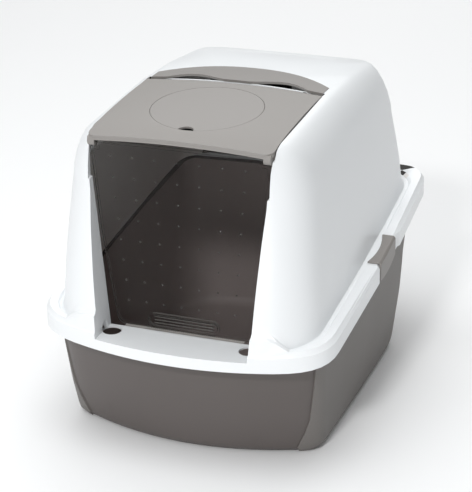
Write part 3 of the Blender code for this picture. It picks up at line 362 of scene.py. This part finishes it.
LID_GREY = (0.266, 0.251, 0.239)
LID_EDGE = 0.0005
FELT_BLACK = (0.022, 0.022, 0.024)
FELT_ROUGHNESS = 0.95
FELT_MOTTLE = 0.5
FELT_GRAIN = 1.0
FELT_SPECULAR = 0.15
FELT_PATCH = 220.0
FELT_EDGE = 0.0012

lid = copy_of("filter_lid", "lid")
soften(lid, LID_EDGE)
lid.data.materials.append(moulded("lid grey polypropylene", LID_GREY, SATIN, mottle=SATIN_MOTTLE))
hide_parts("filter_lid")
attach(lid, "lid")

pad = copy_of("carbon_filter", "carbon_pad")
soften(pad, FELT_EDGE)
pad.data.materials.append(moulded("carbon felt", FELT_BLACK, FELT_ROUGHNESS, mottle=FELT_MOTTLE,
                                  grain=FELT_GRAIN, specular=FELT_SPECULAR, patch=FELT_PATCH))
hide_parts("carbon_filter")
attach(pad, "cover")


# ---------------------------------------------------------------- carry handle
# Grey lens-shaped plate snapped into a seat in the roof. Two finger slots along its front edge open
# over the dished pocket below.

HANDLE_GREY = (0.245, 0.231, 0.219)
HANDLE_EDGE = 0.0006

handle = copy_of("carry_handle", "handle")
soften(handle, HANDLE_EDGE)
handle.data.materials.append(moulded("handle grey polypropylene", HANDLE_GREY, SATIN, mottle=SATIN_MOTTLE))
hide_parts("carry_handle")
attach(handle, "hood")


# ---------------------------------------------------------------- swing door
# Smoked clear styrene flap on two top pins, with a raised edge, a raised ring to push at and rows of
# small moulded pips. A pale ridged strip seals its foot.

SMOKE = (0.020, 0.017, 0.015)
DOOR_ALPHA = 0.17           # how much of the light each of the door's two faces stops
CLEAR_ROUGHNESS = 0.05
CLEAR_MOTTLE = 0.08
CLEAR_SPECULAR = 0.32
CLEAR_PATCH = 14.0
# painted highlight: the door's edge faces are coloured lighter and made more opaque than its smoked faces
EDGE_PAINTED_HIGHLIGHT = (0.140, 0.132, 0.125)
EDGE_ALPHA = 0.75
EDGE_ROUGHNESS = 0.12       # the door's edges, pips and ridges
EDGE_FACING = 0.6           # a face that points forwards or back less than this is an edge
DOOR_EDGE = 0.0004
DOOR_FACE_Y = -0.2201


def clear_plastic(name, colour, roughness, alpha):
    """Smoked clear plastic, faintly clouded, that lets part of the light straight through."""
    material = moulded(name, colour, roughness, mottle=CLEAR_MOTTLE, grain=0.0,
                       specular=CLEAR_SPECULAR, patch=CLEAR_PATCH)
    material.node_tree.nodes["Principled BSDF"].inputs["Alpha"].default_value = alpha
    return material


door = copy_of("swing_door", "door")
soften(door, DOOR_EDGE)
door.data.materials.append(clear_plastic("smoked styrene", SMOKE, CLEAR_ROUGHNESS, DOOR_ALPHA))
door.data.materials.append(clear_plastic("smoked styrene, painted highlight on edges", EDGE_PAINTED_HIGHLIGHT, EDGE_ROUGHNESS,
                                         EDGE_ALPHA))
# edge faces get the painted highlight
for face in door.data.polygons:
    if abs(face.normal.y) < EDGE_FACING:
        face.material_index = 1
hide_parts("swing_door")
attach(door, "door")


def join_copies(piece, places, name):
    """Copy a small shape to each place, join the copies and name the result."""
    nothing_selected()
    for place in places:
        twin = piece.copy()
        twin.data = piece.data.copy()
        twin.data.transform(Matrix.Translation(place))
        scene.collection.objects.link(twin)
        twin.select_set(True)
        bpy.context.view_layer.objects.active = twin
    bpy.data.objects.remove(piece, do_unlink=True)
    bpy.ops.object.join()
    joined = bpy.context.object
    joined.name = name
    return joined


# pips, moulded on the front face in rows that draw in towards the foot
# painted highlight: the pips are coloured lighter than the door's smoke
PIP_PAINTED_HIGHLIGHT = (0.075, 0.070, 0.066)
PIP_ALPHA = 0.9             # the pips and the ridges
PIP_ROWS = 8
PIP_COLUMNS = 7
PIP_FOOT_Z = 0.2055         # lowest row, and the step between rows
PIP_STEP_Z = 0.0300
PIP_PITCH_FOOT = 0.0262     # between columns, at the lowest row and at the top one
PIP_PITCH_TOP = 0.0323
PIP_MIDDLE_X = -0.0035
PIP_RADIUS = 0.0013
PIP_FLATNESS = 0.5
PIP_SEGMENTS = 10
PIP_RINGS = 6

nothing_selected()
bpy.ops.mesh.primitive_uv_sphere_add(segments=PIP_SEGMENTS, ring_count=PIP_RINGS, radius=PIP_RADIUS)
pip = bpy.context.object
pip.data.transform(Matrix.Diagonal((1, PIP_FLATNESS, 1, 1)))
pip.data.shade_smooth()
pip_places = []
for row in range(PIP_ROWS):
    pitch = PIP_PITCH_FOOT + (PIP_PITCH_TOP - PIP_PITCH_FOOT) * row / (PIP_ROWS - 1)
    for column in range(PIP_COLUMNS):
        x = PIP_MIDDLE_X + (column - (PIP_COLUMNS - 1) / 2) * pitch
        pip_places.append((x, DOOR_FACE_Y, PIP_FOOT_Z + PIP_STEP_Z * row))
pips = join_copies(pip, pip_places, "door_pips")
pips.data.materials.append(clear_plastic("smoked styrene, pips, painted highlight", PIP_PAINTED_HIGHLIGHT, EDGE_ROUGHNESS, PIP_ALPHA))
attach(pips, "door")

# three ridges inside the ring that is pushed at
# painted highlight: the ridges are coloured lighter than the door's smoke
RIDGE_PAINTED_HIGHLIGHT = (0.10, 0.094, 0.088)
RIDGE_HALF = 0.0440
RIDGE_DEPTH = 0.0022
RIDGE_HEIGHT = 0.0016
RIDGE_EDGE = 0.0005
RIDGE_AHEAD = 0.0006        # middle of a ridge ahead of the door's face
RIDGE_MIDDLE_Z = 0.1820
RIDGE_PITCH = 0.0046

nothing_selected()
bpy.ops.mesh.primitive_cube_add(size=1)
ridge = bpy.context.object
ridge.data.transform(Matrix.Diagonal((RIDGE_HALF * 2, RIDGE_DEPTH, RIDGE_HEIGHT, 1)))
soften(ridge, RIDGE_EDGE)
ridge_places = [(0, DOOR_FACE_Y - RIDGE_AHEAD, RIDGE_MIDDLE_Z + RIDGE_PITCH * i) for i in (-1, 0, 1)]
ridges = join_copies(ridge, ridge_places, "grip_ridges")
ridges.data.materials.append(clear_plastic("smoked styrene, ridges, painted highlight", RIDGE_PAINTED_HIGHLIGHT, EDGE_ROUGHNESS,
                                           PIP_ALPHA))
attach(ridges, "door")

# slanted ribs of the strip along the foot
STRIP_PALE = (0.42, 0.40, 0.38)
STRIP_ROUGHNESS = 0.35
STRIP_ALPHA = 0.95
STRIP_HALF = 0.0886
STRIP_MIDDLE_Z = 0.1675
STRIP_PITCH = 0.0030
STRIP_AHEAD = 0.0015        # middle of a rib ahead of the door's face
RIB_SIZE = (0.0013, 0.0010, 0.0044)
RIB_SLANT = math.radians(38)

nothing_selected()
bpy.ops.mesh.primitive_cube_add(size=1)
rib = bpy.context.object
rib.data.transform(Matrix.Rotation(RIB_SLANT, 4, "Y") @ Matrix.Diagonal((*RIB_SIZE, 1)))
rib_places = [(-STRIP_HALF + STRIP_PITCH * (i + 0.5), DOOR_FACE_Y - STRIP_AHEAD, STRIP_MIDDLE_Z)
              for i in range(int(STRIP_HALF * 2 / STRIP_PITCH))]
strip = join_copies(rib, rib_places, "door_strip")
strip.data.materials.append(clear_plastic("pale strip", STRIP_PALE, STRIP_ROUGHNESS, STRIP_ALPHA))
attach(strip, "door")


# ---------------------------------------------------------------- latches
# A grey saddle clip over the flange on each side: a waisted plate that turns on the flange, and a
# leaf that hangs down over the skirt.

LATCH_GREY = (0.250, 0.233, 0.220)
LATCH_ROUGHNESS = 0.45
LATCH_MOTTLE = 0.03
LATCH_EDGE = 0.0009
LATCH_EDGE_SEGMENTS = 3
LATCH_FRONT_Y = -0.013      # the front end stays, and the rear end is drawn in along the flange's slope
LATCH_SHORTER = 0.20

latch_plastic = moulded("latch grey polypropylene", LATCH_GREY, LATCH_ROUGHNESS, mottle=LATCH_MOTTLE)
for word in ("left", "right"):
    latch = copy_of(f"latch_{word}", f"saddle_{word}")
    soften(latch, LATCH_EDGE, segments=LATCH_EDGE_SEGMENTS)
    for point in latch.data.vertices:
        shift = (LATCH_FRONT_Y - point.co.y) * LATCH_SHORTER
        point.co.y += shift
        point.co.z += shift * SPLIT_SLOPE
    latch.data.materials.append(latch_plastic)
    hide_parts(f"latch_{word}")
    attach(latch, f"clip_{word}")
